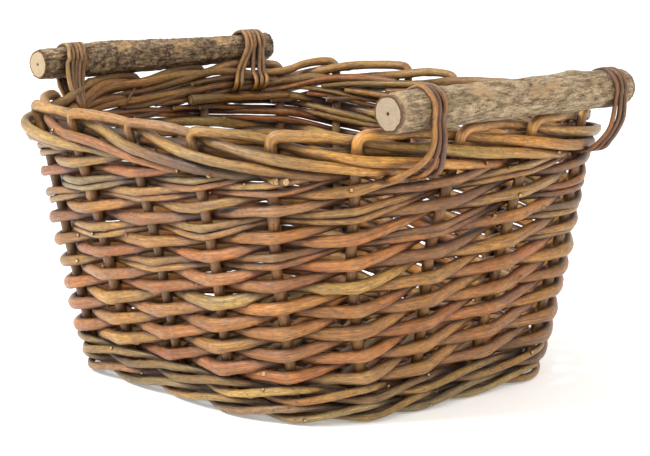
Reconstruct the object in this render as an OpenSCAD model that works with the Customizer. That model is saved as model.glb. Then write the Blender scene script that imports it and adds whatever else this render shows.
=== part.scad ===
// Woven willow egg collection basket with two log handles.
// +Z up, origin under the middle of the foot, handles along Y.

/* [Basket] */
// Width of the wall at the foot, across the handles, between stake centres
foot_w = 245; // [235:1:255]
// Depth of the wall at the foot, along the handles, between stake centres
foot_d = 233; // [223:1:243]
// Corner radius of the wall at the foot
foot_r = 64; // [56:1:70]
// Width of the wall at the rim, across the handles, between stake centres
rim_w = 312; // [302:1:320]
// Depth of the wall at the rim, along the handles, between stake centres
rim_d = 317; // [307:1:325]
// Corner radius of the wall at the rim
rim_r = 117; // [105:1:125]
// Height of the rim, to the middle of the top rods
rim_h = 172; // [168:1:178]

/* [Weave] */
// Radius of a side stake at the foot
stake_r = 3.2; // [2.8:0.1:3.3]
// Radius of a side stake where it turns over into the border
border_r = 2.7; // [2.3:0.1:2.8]
// Radius of a wall weaver at its thick end
butt_r = 3.0; // [2.6:0.1:3.1]
// Radius of a wall weaver at its thin end
tip_r = 1.9; // [1.6:0.1:2.1]
// Height a wall weaver climbs from one stake to the next
climb = 7.1; // [7.1:0.05:7.2]
// Number of stakes that a wall weaver passes after its first one
passes = 17; // [13:1:17]
// Radius of a waling rod
wale_r = 1.9; // [1.5:0.1:1.9]

/* [Base] */
// Radius of a base stick
stick_r = 3.4; // [3:0.1:3.6]
// Distance from one base stick to the next
stick_gap = 32; // [32:1:33]
// Radius of a base weaver, over its corners
mat_r = 2.6; // [2.2:0.1:2.7]
// Distance from one base weaver to the next
mat_gap = 7.2; // [6.4:0.1:8]

/* [Handles] */
// Length of the right handle log
log_right_l = 205.8; // [190:0.1:212]
// Radius of the right handle log
log_right_r = 11.4; // [10.5:0.1:11.5]
// Length of the left handle log
log_left_l = 202.3; // [190:0.1:212]
// Radius of the left handle log
log_left_r = 10.2; // [9.5:0.1:10.6]
// Distance of each log from the middle of the basket
log_x = 159.3; // [156:0.1:161]
// Radius of a lashing strand
lash_r = 1.2; // [1:0.1:1.2]

/* [Hidden] */

stakes = 18;        // number of side stakes, one node each
sides = 6;          // sides of a rod's section
air = 0.35;         // gap left between crossing rods
bulge = 3;          // how far the wall swells at mid height, on the full width
weave_z = 23.6;     // height of the first pass of the weavers, behind the stakes
zig = 0.955;        // cosine of a rod's slant where it crosses a stake
wale_z = 2.15;      // height of the lowest waling strand
wale_step = 7.9;    // height between the two front strands of one waling round
wale_row = 12.0;    // height between waling rounds
mat_z = mat_r * cos(30);                     // middle of a low pass of the base weave
stick_z = mat_z * 2 + air + stick_r + 0.2;   // middle of the base sticks
mat_in = 9.4;       // base mat's edge, inside the stake line

// moves the origin to the middle of the overall box
shift = [-0.627, 0, 0];
module placed() translate(shift) children();

// ---- the wall surface: a rounded rectangle that widens upwards ----
function kz(z) = z / rim_h;
function ww(z) = foot_w + (rim_w - foot_w) * kz(z) + 4 * bulge * kz(z) * (1 - kz(z));
function wd(z) = foot_d + (rim_d - foot_d) * kz(z) + 4 * bulge * kz(z) * (1 - kz(z));
function wr(z) = foot_r + (rim_r - foot_r) * kz(z);

// point and outward normal [x, y, nx, ny] on one quarter, f along it from the +X middle
function quarter(a, b, r, f) =
  let (s = b - r, q = PI * r / 2)
  f < s ? [a, f, 1, 0] :
  f < s + q ? let (t = (f - s) / r * 180 / PI) [a - r + r * cos(t), s + r * sin(t), cos(t), sin(t)] :
  [a - r - (f - s - q), b, 0, 1];

// the same for a fraction u of the whole way round, from +X towards +Y
function outline(a, b, r, u) =
  let (w = (u - floor(u)) * 4, n = floor(w), len = a + b - 2 * r + PI * r / 2,
       g = (w - n) * len, f = (n == 1 || n == 3) ? len - g : g,
       sx = (n == 1 || n == 2) ? -1 : 1, sy = n >= 2 ? -1 : 1, p = quarter(a, b, r, f))
  [p[0] * sx, p[1] * sy, p[2] * sx, p[3] * sy];

// the rim stands a little proud at the far corner and sags at another
function lift(u) = 6 * pow(max(0, cos(360 * (u - 0.36))), 8) - 3 * pow(max(0, cos(360 * (u - 0.62))), 8);

// where stake number j stands, as a fraction round the wall; stakes crowd at two corners
function around(j) = let (t = (j + 11.6) / stakes) t + 0.0153 * sin(720 * (t - 0.585));

// a point at stake number j, height z, set off from the stake line along the normal
function at(j, z, off) =
  let (u = around(j), p = outline(ww(z) / 2, wd(z) / 2, wr(z), u))
  [p[0] + p[2] * off, p[1] + p[3] * off, z + lift(u) * pow(kz(z), 2)];
function out(j, z) = let (p = outline(ww(z) / 2, wd(z) / 2, wr(z), around(j))) [p[2], p[3], 0];

// ---- rods: a closed tube of flat facets swept through points ----
function unit(v) = v / norm(v);
function along(p, i) = unit(p[min(i + 1, len(p) - 1)] - p[max(i - 1, 0)]);
function ring(c, t, n, r, k, a0) =
  let (b = unit(cross(t, n)), m = cross(b, t))
  [for (i = [0:k - 1]) let (a = a0 + 360 * i / k) c + r * (cos(a) * m + sin(a) * b)];
// p: points, n: a sideways direction at each, r: radius at each
function tube_points(p, n, r, k) =
  [for (i = [0:len(p) - 1]) each ring(p[i], along(p, i), n[i], r[i], k, 0)];
function tube_faces(rings, k, o) = concat(
  [[for (i = [0:k - 1]) o + i]],
  [for (j = [0:rings - 2]) for (i = [0:k - 1]) each
    let (a = o + j * k + i, b = o + j * k + (i + 1) % k, c = b + k, d = a + k) [[a, d, c], [a, c, b]]],
  [[for (i = [k - 1:-1:0]) o + (rings - 1) * k + i]]);
module rod(p, n, r, k = sides)
  polyhedron(points = tube_points(p, n, r, k), faces = tube_faces(len(p), k, 0), convexity = 6);

// ---- side stakes and the border their tops make ----
// [stakes along, height, offset, radius]
side_off = stake_r + border_r + air;
stake_path = [
  [0, 3, 0, stake_r], [0, 50, 0, stake_r], [0, 100, 0, stake_r - 0.1], [0, 148, 0, stake_r - 0.3],
  [0.01, rim_h - 5.5, 0, border_r], [0.1, rim_h + 0.2, 0, border_r], [0.3, rim_h + 0.4, -1, border_r],
  [0.65, rim_h - 1.2, -4, border_r], [1, rim_h - 4.2, -side_off, border_r],
  [1.5, rim_h - 7.8, 0, border_r - 0.1], [2, rim_h - 11.6, side_off, border_r - 0.2],
  [2.5, rim_h - 15.2, side_off + 0.8, border_r - 0.3], [3, rim_h - 18.8, side_off, border_r - 0.4],
  [3.42, rim_h - 20.8, side_off - 1.4, border_r - 0.7]];
module side_stake(j) color("peru") placed()
  rod([for (s = stake_path) at(j + s[0], s[1], s[2])],
      [for (s = stake_path) out(j + s[0], s[1])],
      [for (s = stake_path) s[3]]);

// ---- wall weavers: in front of one stake, behind the next, always climbing ----
function weaver_r(m) = butt_r + (tip_r - butt_r) * m / 17;
function weaver_off(m) = (stake_r + weaver_r(m) + air) / zig * (m % 2 == 0 ? -1 : 1);
module wall_weaver(j) color("sienna") placed()
  rod([for (m = [0:passes]) at(j + m, weave_z + climb * m, weaver_off(m))],
      [for (m = [0:passes]) out(j + m, weave_z + climb * m)],
      [for (m = [0:passes]) weaver_r(m)]);

// ---- waling: three rods a round, each in front of two stakes and behind one ----
wale_off = (stake_r + wale_r + air) / zig + 0.3;
function wale_dz(ph) = ph == 0 ? wale_step / 2 : ph == 1 ? 0 : wale_step;
module waling_rod(k, row, start) color("olive") placed()
  rod([for (g = [0:17]) at(start + k + g, wale_z + wale_row * row + wale_dz(g % 3), g % 3 == 0 ? -wale_off : wale_off)],
      [for (g = [0:17]) out(start + k + g, wale_z + wale_row * row)],
      [for (g = [0:17]) wale_r]);

// ---- base mat ----
mat_a = foot_w / 2 - mat_in;
mat_b = foot_d / 2 - mat_in;
mat_c = foot_r - mat_in;
// half length of the mat at a distance v from its middle, along the other side
function chord(a, b, r, v) = abs(v) <= b - r ? a : a - r + sqrt(max(0, r * r - pow(abs(v) - (b - r), 2)));
module base_stick(i) color("tan") placed()
  let (y = (i - 4) * stick_gap, h = chord(mat_a, mat_b, mat_c, y) - 1.6)
    translate([-h, y, stick_z]) rotate([0, 90, 0]) cylinder(h = 2 * h, r = stick_r, $fn = 48);

mat_n = floor((mat_a - 4) / mat_gap);
mat_rise = 2 * (stick_z - mat_z);
// the passes of base weaver j: below or above each base stick that it meets, flat where it crosses
function mat_path(j) =
  let (x = j * mat_gap, h = chord(mat_b, mat_a, mat_c, x),
       met = [for (i = [1:7]) if (abs((i - 4) * stick_gap) < h - 7) i],
       lvl = function (i) (i + j + 100) % 2 == 0 ? mat_z : mat_z + mat_rise)
  concat([[x, -h, lvl(met[0])]],
         [for (i = met) each [[x, (i - 4) * stick_gap - 3, lvl(i)], [x, (i - 4) * stick_gap + 3, lvl(i)]]],
         [[x, h, lvl(met[len(met) - 1])]]);
module base_weaver(j) {
  p = mat_path(j);
  pts = [for (c = p) each [for (i = [0:5]) c + mat_r * [sin(60 * i + 30), 0, cos(60 * i + 30)]]];
  polyhedron(points = pts, faces = tube_faces(len(p), 6, 0), convexity = 4);
}
module base_weavers() color("burlywood") placed() for (j = [-mat_n:mat_n]) base_weaver(j);

// ---- handle logs ----
module log_handle(l, r, x, y, z) translate([x, y - l / 2, z]) rotate([-90, 0, 0]) cylinder(h = l, r1 = r - 0.4, r2 = r + 0.5, $fn = 64);
log_right_z = 186.9;
log_left_z = 188.4;
module handle_log_right() color("tan") placed() log_handle(log_right_l, log_right_r, log_x, 8, log_right_z);
module handle_log_left() color("dimgray") placed() log_handle(log_left_l, log_left_r, -log_x, -0.5, log_left_z);

// ---- lashings: closed turns of split willow round a log and under the border ----
// distance from the middle of the basket to the stake line at depth y, height z
function wall_x(y, z) = chord(ww(z) / 2, wd(z) / 2, wr(z), y);
cross_z = rim_h - 24.3;
// one turn in the plane across the log: s is the side, +1 right, -1 left; y at the crossing, slant of the turn
function turn(s, y, slant, zl, rl) =
  let (ra = rl + 0.5 + lash_r + 0.35, w = side_off + border_r + lash_r + 1.6,
       loop = concat(
         [for (a = [165:-30:15]) [log_x + ra * cos(a), zl + ra * sin(a)]],
         [[log_x + ra, zl - 2],
          [max(log_x + ra - 6, wall_x(y, 168) + w + 1), zl - 16],
          [wall_x(y, 158) + w + 2.6, 160], [wall_x(y, 152) + w + 1.8, 151],
          [wall_x(y, cross_z) + 6.5, cross_z], [wall_x(y, cross_z) - 4.5, cross_z],
          [wall_x(y, 152) - w - 0.5, 151], [wall_x(y, 164) - w - 1.5, 164],
          [min(log_x - ra + 1, wall_x(y, 172) - w), 176]]))
  [for (q = loop) [s * q[0], y + slant * (q[1] - cross_z) / 50, q[1]]];
function turn_points(p) =
  [for (i = [0:len(p) - 1])
    let (n = len(p), t = unit(p[(i + 1) % n] - p[(i + n - 1) % n])) each ring(p[i], t, [0, 1, 0], lash_r, 6, 0)];
module loop_rod(p) let (n = len(p))
  polyhedron(points = turn_points(p),
    faces = [for (j = [0:n - 1]) for (i = [0:5]) each
      let (a = j * 6 + i, b = j * 6 + (i + 1) % 6, d = ((j + 1) % n) * 6 + i, c = ((j + 1) % n) * 6 + (i + 1) % 6)
        [[a, d, c], [a, c, b]]], convexity = 6);
module lashing(s, y, slant, count, zl, rl) color("chocolate") placed()
  for (i = [0:count - 1]) loop_rod(turn(s, y + 3.1 * (i - (count - 1) / 2), slant, zl, rl));

module lashing_right_near() lashing(1, -75, 4, 3, log_right_z, log_right_r);
module lashing_right_far() lashing(1, 79.5, 11, 3, log_right_z, log_right_r);
module lashing_left_near() lashing(-1, -74, 0, 3, log_left_z, log_left_r);
module lashing_left_far() lashing(-1, 78, 0, 3, log_left_z, log_left_r);

base_stick(1);  // base_stick_1
base_stick(2);  // base_stick_2
base_stick(3);  // base_stick_3
base_stick(4);  // base_stick_4
base_stick(5);  // base_stick_5
base_stick(6);  // base_stick_6
base_stick(7);  // base_stick_7
base_weavers();
waling_rod(0, 0, 9);  // waling_rod_1
waling_rod(1, 0, 9);  // waling_rod_2
waling_rod(2, 0, 9);  // waling_rod_3
waling_rod(0, 1, 15);  // waling_rod_4
waling_rod(1, 1, 15);  // waling_rod_5
waling_rod(2, 1, 15);  // waling_rod_6
side_stake(0);  // side_stake_01
side_stake(1);  // side_stake_02
side_stake(2);  // side_stake_03
side_stake(3);  // side_stake_04
side_stake(4);  // side_stake_05
side_stake(5);  // side_stake_06
side_stake(6);  // side_stake_07
side_stake(7);  // side_stake_08
side_stake(8);  // side_stake_09
side_stake(9);  // side_stake_10
side_stake(10);  // side_stake_11
side_stake(11);  // side_stake_12
side_stake(12);  // side_stake_13
side_stake(13);  // side_stake_14
side_stake(14);  // side_stake_15
side_stake(15);  // side_stake_16
side_stake(16);  // side_stake_17
side_stake(17);  // side_stake_18
wall_weaver(0);  // wall_weaver_01
wall_weaver(1);  // wall_weaver_02
wall_weaver(2);  // wall_weaver_03
wall_weaver(3);  // wall_weaver_04
wall_weaver(4);  // wall_weaver_05
wall_weaver(5);  // wall_weaver_06
wall_weaver(6);  // wall_weaver_07
wall_weaver(7);  // wall_weaver_08
wall_weaver(8);  // wall_weaver_09
wall_weaver(9);  // wall_weaver_10
wall_weaver(10);  // wall_weaver_11
wall_weaver(11);  // wall_weaver_12
wall_weaver(12);  // wall_weaver_13
wall_weaver(13);  // wall_weaver_14
wall_weaver(14);  // wall_weaver_15
wall_weaver(15);  // wall_weaver_16
wall_weaver(16);  // wall_weaver_17
wall_weaver(17);  // wall_weaver_18
handle_log_right();
handle_log_left();
lashing_right_near();
lashing_right_far();
lashing_left_near();
lashing_left_far();
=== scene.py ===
import math
import bpy
import numpy as np
from mathutils import Matrix, Vector, noise


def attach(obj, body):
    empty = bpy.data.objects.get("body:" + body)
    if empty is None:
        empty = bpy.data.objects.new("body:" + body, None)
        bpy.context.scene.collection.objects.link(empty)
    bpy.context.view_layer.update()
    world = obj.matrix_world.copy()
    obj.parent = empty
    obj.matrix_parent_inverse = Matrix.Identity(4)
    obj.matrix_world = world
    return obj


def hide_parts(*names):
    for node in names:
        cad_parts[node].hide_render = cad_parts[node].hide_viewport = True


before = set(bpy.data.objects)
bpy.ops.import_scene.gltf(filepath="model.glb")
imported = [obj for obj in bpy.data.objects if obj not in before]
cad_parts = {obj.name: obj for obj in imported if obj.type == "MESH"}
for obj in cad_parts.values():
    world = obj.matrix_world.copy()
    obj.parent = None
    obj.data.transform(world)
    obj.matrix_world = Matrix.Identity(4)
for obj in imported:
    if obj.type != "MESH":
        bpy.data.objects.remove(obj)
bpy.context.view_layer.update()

MM = 0.001
SHIFT = np.array([-0.627, 0.0, 0.0])
PI = math.pi

# ------------------------------------------------------------------ the wall
STAKES = 18
RIM_H = 172.0
FOOT = (245.0, 233.0, 64.0)
RIM = (312.0, 317.0, 117.0)
BULGE = 3.0
CLIMB = 7.1
WEAVE_Z = 23.6
PASSES = 17


def dims(z):
    k = z / RIM_H
    e = 4 * BULGE * k * (1 - k)
    return (FOOT[0] + (RIM[0] - FOOT[0]) * k + e, FOOT[1] + (RIM[1] - FOOT[1]) * k + e,
            FOOT[2] + (RIM[2] - FOOT[2]) * k)


def outline(a, b, r, u):
    """Point and outward normal on a rounded rectangle, u from +X towards +Y."""
    w = (u - math.floor(u)) * 4
    n = int(w)
    q = PI * r / 2
    length = a + b - 2 * r + q
    g = (w - n) * length
    f = length - g if n in (1, 3) else g
    s = b - r
    if f < s:
        p = (a, f, 1.0, 0.0)
    elif f < s + q:
        t = (f - s) / r
        p = (a - r + r * math.cos(t), s + r * math.sin(t), math.cos(t), math.sin(t))
    else:
        p = (a - r - (f - s - q), b, 0.0, 1.0)
    sx = -1 if n in (1, 2) else 1
    sy = -1 if n >= 2 else 1
    return p[0] * sx, p[1] * sy, p[2] * sx, p[3] * sy


def lift(u):
    c = max(0.0, math.cos(2 * PI * (u - 0.36)))
    d = max(0.0, math.cos(2 * PI * (u - 0.62)))
    return 6 * c ** 8 - 3 * d ** 8


def around(j):
    t = (j + 11.6) / STAKES
    return t + 0.0153 * math.sin(4 * PI * (t - 0.585))


# How far each upright stands aside of its regular place, in mm along the wall: at the foot, half way up and at the rim.
LEAN = [[0, 1, -5], [-5, -3.5, -10], [-4, -2.5, -11], [2, 1, -7], [3.5, -3.5, -4], [2, -7, -6], [-4.5, -7, 9],
        [-6, 0, 7], [-3.5, 0, 0], [2, -2, 3], [-2, 3, -4], [3, -1, 4], [1, 3, -3], [-3, 2, 5], [2, -3, -4],
        [-1, 3, 3], [3, -2, -4], [-2, 2, 2]]


def lean(j, z):
    """The lean at a place between uprights: a smooth mix of the two on either side."""
    i = math.floor(j)
    f = j - i
    f = f * f * (3 - 2 * f)
    a, b = LEAN[i % STAKES], LEAN[(i + 1) % STAKES]
    k = [a[q] * (1 - f) + b[q] * f for q in range(3)]
    t = (z - 30) / 70.0
    if t <= 1:
        t = max(t, -0.35)
        return k[0] + (k[1] - k[0]) * t
    t = (z - 100) / 69.0
    return k[1] + (k[2] - k[1]) * min(t, 1.1)


def sway(u, z):
    """Unevenness that every rod shares: in or out, and up or down, in mm."""
    k = min(max((z - 18) / 60.0, 0.0), 1.0)
    a = 2 * PI * u
    rad = 0.6 * math.sin(5 * a + 1.3 + z / 45.0) + 0.4 * math.sin(9 * a - z / 29.0)
    up = 0.7 * math.sin(4 * a + 0.4 + z / 60.0) + 0.5 * math.sin(11 * a + 1.9 + z / 33.0)
    top = 1.0 - 0.6 * min(max((z - 150) / 20.0, 0.0), 1.0)
    return rad * k * top, up * k * top


def at(j, z, off):
    u = around(j)
    a, b, r = dims(z)
    rad, up = sway(u, z)
    per = 2 * (a + b) - 8 * r + 2 * PI * r
    x, y, nx, ny = outline(a / 2, b / 2, r, u + lean(j, z) / per)
    return (x + nx * (off + rad), y + ny * (off + rad), z + up + lift(u) * (z / RIM_H) ** 2), (nx, ny, 0.0)


# ------------------------------------------------------------------ colours
def lin(c):
    c = np.asarray(c, float) / 255.0
    return np.where(c <= 0.04045, c / 12.92, ((c + 0.055) / 1.055) ** 2.4)


ORANGE = (178, 118, 62)
RUST = (150, 94, 54)
PINK = (170, 122, 90)
OLIVE = (142, 118, 66)
GOLD = (172, 132, 72)
BROWN = (122, 84, 48)
GREY = (150, 134, 108)
DARK = (92, 62, 36)
STRAW = (188, 158, 104)
TAN = (174, 140, 96)
HONEY = (182, 134, 72)


# ------------------------------------------------------------------ meshes
SEASONED = np.array([0.72, 0.62, 0.32])  # dried willow: the fresh colours gone browner


class Shell:
    """Gathers closed tubes into one mesh with per-point attributes. The mesh is made when every shell is known."""
    jobs = []

    def __init__(self):
        self.v, self.f, self.m, self.smooth = [], [], [], []
        self.tint, self.ruv, self.mark, self.nrm = [], [], [], []
        self.n = 0

    def add(self, v, faces, mats, smooth, tint, ruv, mark, nrm):
        self.v.append(v)
        self.f += [tuple(i + self.n for i in q) for q in faces]
        self.m += mats
        self.smooth += smooth
        self.tint.append(tint)
        self.ruv.append(ruv)
        self.mark.append(mark)
        self.nrm.append(nrm)
        self.n += len(v)

    def make(self, name, mats, slot, nodes):
        Shell.jobs.append((self, name, mats, slot, nodes))

    def build(self, name, mats, slot, nodes, crevice_shade):
        me = bpy.data.meshes.new(name)
        v = np.vstack(self.v)
        me.from_pydata((v * MM).tolist(), [], self.f)
        me.polygons.foreach_set("material_index", self.m)
        me.polygons.foreach_set("use_smooth", self.smooth)
        t = np.vstack(self.tint)
        if name.startswith("Side_stake"):  # painted light: the border top is lightened under the right log, where the log's shadow falls, and a little darker elsewhere
            t = t * (1 + (0.72 * np.clip((v[:, :1] - 118) / 30, 0, 1) - 0.14) * np.clip((v[:, 2:] - 140) / 15, 0, 1))
        c = me.color_attributes.new("tint", "FLOAT_COLOR", "POINT")
        c.data.foreach_set("color", np.c_[t, np.ones(len(t))].ravel().astype(np.float32))
        r = me.attributes.new("ruv", "FLOAT_VECTOR", "POINT")
        r.data.foreach_set("vector", np.vstack(self.ruv).ravel().astype(np.float32))
        k = me.attributes.new("mark", "FLOAT", "POINT")
        k.data.foreach_set("value", np.concatenate(self.mark).astype(np.float32))
        # painted shade: how crowded the space outside each point is, used by the materials to darken the crevices
        k = me.attributes.new("crevice_shade", "FLOAT", "POINT")
        k.data.foreach_set("value", crevice_shade.astype(np.float32))
        me.update()
        o = bpy.data.objects.new(name, me)
        bpy.context.scene.collection.objects.link(o)
        for m in mats:
            me.materials.append(m)
        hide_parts(*nodes)
        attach(o, "root")
        return o


def build_all():
    """How crowded the space just outside each point is sets how much painted shade it gets: darker in the crevices
    between crowded rods.
    """
    cell = 1.5
    lo = np.array([-190.0, -185.0, -15.0])
    dim = np.array([254, 247, 152])
    grid = np.zeros(dim, np.float32)
    for job in Shell.jobs:
        v = np.vstack(job[0].v)
        i = ((v - lo) / cell).astype(int)
        grid[i[:, 0], i[:, 1], i[:, 2]] = 1.0
    k = np.exp(-0.5 * (np.arange(-4, 5) / 1.7) ** 2)
    k /= k.sum()
    for ax in range(3):
        acc = np.zeros_like(grid)
        for q, w in zip(range(-4, 5), k):
            acc += w * np.roll(grid, q, ax)
        grid = acc
    for shell, name, mats, slot, nodes in Shell.jobs:
        v = np.vstack(shell.v)
        n = np.vstack(shell.nrm)
        dens = 0
        for reach in (3.0, 5.5):
            i = ((v + n * reach - lo) / cell).astype(int)
            i = np.clip(i, 0, dim - 1)
            dens = dens + grid[i[:, 0], i[:, 1], i[:, 2]] * 0.5
        shell.build(name, mats, slot, nodes, np.clip((dens - 0.062) / 0.13, 0, 1))


def catmull(p, t):
    """Values of a centripetal-like Catmull-Rom spline with knots 0..n-1 at t."""
    n = len(p)
    i = np.clip(np.floor(t).astype(int), 0, n - 2)
    f = (t - i)[:, None]
    g = lambda k: p[np.clip(k, 0, n - 1)]
    p0, p1, p2, p3 = g(i - 1), g(i), g(i + 1), g(i + 2)
    p0 = np.where((i == 0)[:, None], 2 * p1 - p2, p0)
    p3 = np.where((i == n - 2)[:, None], 2 * p2 - p1, p3)
    return 0.5 * (2 * p1 + (p2 - p0) * f + (2 * p0 - 5 * p1 + 4 * p2 - p3) * f ** 2 + (3 * p1 - p0 - 3 * p2 + p3) * f ** 3)


def smooth_noise(rng, s, wave, amp):
    """One-dimensional smooth noise over the lengths s, in mm."""
    n = int(s[-1] / wave) + 4
    k = rng.normal(size=n)
    x = s / wave
    i = x.astype(int)
    f = x - i
    f = f * f * (3 - 2 * f)
    return amp * (k[i] * (1 - f) + k[i + 1] * f)


def rod(shell, pts, nrm, rad, seed, tints, sides=12, step=2.4, wobble=0.25, lumps=1.0, squash=0.94,
        ends=(1, 1), mark_base=0.0, closed=False, kinks=(), stubs=0, flat=0.0):
    """A tapering twig through pts. tints: colours spread along it. ends: 1 cut square, 0 rounded off."""
    rng = np.random.default_rng(seed)
    P, N, R = np.asarray(pts, float), np.asarray(nrm, float), np.asarray(rad, float)
    if closed:
        P = np.vstack([P, P[:1]]); N = np.vstack([N, N[:1]]); R = np.r_[R, R[:1]]
        wrap = lambda A: np.vstack([A[-2:-1], A, A[1:2]])
        Pw, Nw, Rw = wrap(P), wrap(N), np.r_[R[-2], R, R[1]]
        tt = np.linspace(1, len(P), 12 * (len(P) - 1) + 1)
        C = catmull(Pw, tt)
        NN = catmull(Nw, tt); RR = catmull(Rw[:, None], tt)[:, 0]
    else:
        tt = np.linspace(0, len(P) - 1, 12 * (len(P) - 1) + 1)
        C = catmull(P, tt); NN = catmull(N, tt); RR = catmull(R[:, None], tt)[:, 0]
    L = np.r_[0, np.cumsum(np.linalg.norm(np.diff(C, axis=0), axis=1))]
    bends = [float(np.interp(k, tt, L)) for k in kinks]
    n = max(int(L[-1] / step), 6)
    s = np.linspace(0, L[-1], n + 1)
    C = np.c_[[np.interp(s, L, C[:, k]) for k in range(3)]].T
    NN = np.c_[[np.interp(s, L, NN[:, k]) for k in range(3)]].T
    RR = np.interp(s, L, RR)
    if closed:
        C, NN, RR, s = C[:-1], NN[:-1], RR[:-1], s[:-1]
        n -= 1
        T = np.roll(C, -1, 0) - np.roll(C, 1, 0)
    else:
        T = np.gradient(C, axis=0)
    T /= np.linalg.norm(T, axis=1)[:, None]
    B = np.cross(T, NN); B /= np.linalg.norm(B, axis=1)[:, None]
    M = np.cross(B, T)
    fade = np.ones(n + 1)
    if not closed and wobble:
        C = C + M * (smooth_noise(rng, s, 22.0, wobble * 0.6))[:, None] + B * (smooth_noise(rng, s, 26.0, wobble))[:, None]
    RR = RR * (1 + smooth_noise(rng, s, 35.0, 0.035 * lumps) + smooth_noise(rng, s, 9.0, 0.018 * lumps))
    # bud joints: a swelling with a dark scar ring, every few centimetres
    mark = np.full(n + 1, mark_base)
    buds = []
    x = rng.uniform(10, 45)
    while x < s[-1] - 6:
        buds.append((x, rng.uniform(0, 2 * PI), rng.uniform(0.5, 1.0)))
        x += rng.uniform(28, 75)
    for (bx, ba, bh) in buds:
        g = np.exp(-((s - bx) / 3.0) ** 2)
        RR = RR * (1 + 0.06 * lumps * bh * g)
        mark = np.maximum(mark, 0.5 * bh * np.exp(-((s - bx) / 0.9) ** 2))
    scuff_and_highlight = np.zeros(n + 1)
    for bx in bends:  # where it bends round an upright: pressed flatter, and paler from scuffed bark and a painted highlight
        scuff_and_highlight = np.maximum(scuff_and_highlight, rng.uniform(0.2, 1.0) * np.exp(-((s - bx) / 3.2) ** 2))
    ang = 2 * PI * np.arange(sides) / sides
    rot = rng.uniform(0, 2 * PI)
    ca, sa = np.cos(ang), np.sin(ang)
    # section: a little flat towards the wall, with ribs that drift along the rod
    rib = 1 + 0.025 * lumps * np.sin(3 * ang[None] + smooth_noise(rng, s, 60.0, 1.5)[:, None] + rot) \
        + 0.012 * lumps * rng.normal(size=(n + 1, sides))
    rr = RR[:, None] * rib
    bump = np.zeros((n + 1, sides))
    markv = np.repeat(mark[:, None], sides, 1)
    for (bx, ba, bh) in buds:
        da = np.angle(np.exp(1j * (ang - ba)))
        g = np.exp(-((s[:, None] - bx) / 1.7) ** 2 - (da[None] / 0.5) ** 2)
        bump += 0.75 * bh * lumps * g * (RR[:, None] / 3.0)
        markv = np.maximum(markv, 0.75 * bh * g)
    rr = rr + bump
    press = np.zeros(n + 1)
    for bx in bends:
        press = np.maximum(press, np.exp(-((s - bx) / 5.5) ** 2))
    mm, bb = squash * (1 - 0.14 * press), (1 + 0.13 * press) / squash ** 0.5
    rad_dir = mm[:, None, None] * ca[None, :, None] * M[:, None] + bb[:, None, None] * sa[None, :, None] * B[:, None]
    V = C[:, None] + rr[..., None] * rad_dir
    Nv = rad_dir / np.linalg.norm(rad_dir, axis=2)[..., None]
    # colours along the rod
    tc = lin(np.asarray(tints, float))
    pos = np.linspace(0, s[-1], len(tc)) if len(tc) > 1 else None
    tint = np.c_[[np.interp(s, pos, tc[:, k]) for k in range(3)]].T if pos is not None else np.repeat(tc, n + 1, 0)
    tint = tint * (1 + smooth_noise(rng, s, 45.0, 0.08) + smooth_noise(rng, s, 12.0, 0.05))[:, None]
    tint = tint * np.exp(smooth_noise(rng, s, 60.0, 1.0)[:, None] * np.array([[0.05, 0.0, -0.09]]))
    # paler at the bends: partly scuffed bark, partly a painted highlight
    tint = tint + scuff_and_highlight[:, None] * 0.22 * (np.array([[0.62, 0.45, 0.29]]) - tint)
    off = rng.uniform(0, 50)
    ident = rng.uniform(0, 20)
    ruv = np.zeros((n + 1, sides, 3))
    ruv[..., 0] = (s[:, None]) * MM + off
    ruv[..., 1] = np.cos(ang + rot)[None] * RR[:, None] * MM
    ruv[..., 2] = np.sin(ang + rot)[None] * RR[:, None] * MM + ident
    verts = [V.reshape(-1, 3)]
    tv = [np.repeat(tint, sides, 0)]
    uv = [ruv.reshape(-1, 3)]
    mk = [markv.reshape(-1)]
    nv = [Nv.reshape(-1, 3)]
    faces, mats, smooth = [], [], []
    rings = n + 1
    last = rings if closed else rings - 1
    for j in range(last):
        a = j * sides
        d = ((j + 1) % rings) * sides
        for i in range(sides):
            k = (i + 1) % sides
            faces.append((a + i, a + k, d + k, d + i))
    mats += [0] * len(faces)
    smooth += [True] * len(faces)
    if not closed:
        base = rings * sides
        for which, (idx, sign) in enumerate(((0, -1), (rings - 1, 1))):
            cut = ends[which]
            c = C[idx]
            ring = V[idx]
            slope = rng.normal(size=2) * 0.18 if cut else (0, 0)
            rim = c + (ring - c) * 0.93 + sign * T[idx] * 0.16 * 1.0
            if cut:
                rim = rim + T[idx] * (slope[0] * ((ring - c) @ M[idx]) + slope[1] * ((ring - c) @ B[idx]))[:, None] * sign
            else:
                rim = c + (ring - c) * 0.6 + sign * T[idx] * RR[idx] * 0.5
            inner = rim.mean(0) + (rim - rim.mean(0)) * 0.25
            mid = rim.mean(0)[None] + sign * T[idx] * (0.02 if cut else RR[idx] * 0.15)
            verts += [rim, inner, mid]
            nv.append(np.repeat((T[idx] * sign)[None], 2 * sides + 1, 0))
            for arr, val in ((tv, tint[idx]),):
                arr.append(np.repeat(val[None], 2 * sides + 1, 0))
            u = np.zeros((2 * sides + 1, 3))
            u[:, 0] = off + (s[idx]) * MM
            rel = np.vstack([rim, inner, mid]) - mid
            u[:, 1] = rel @ M[idx] * MM
            u[:, 2] = rel @ B[idx] * MM
            uv.append(u)
            mk.append(np.r_[np.full(sides, 1.0), np.full(sides, 0.2), [0.9]] if cut else np.full(2 * sides + 1, 0.3))
            r0 = idx * sides
            rim0, in0, mid0 = base, base + sides, base + 2 * sides
            base += 2 * sides + 1
            for i in range(sides):
                k = (i + 1) % sides
                quads = [(r0 + i, r0 + k, rim0 + k, rim0 + i), (rim0 + i, rim0 + k, in0 + k, in0 + i)]
                tri = (in0 + i, in0 + k, mid0)
                if sign < 0:
                    quads = [q[::-1] for q in quads]
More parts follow.
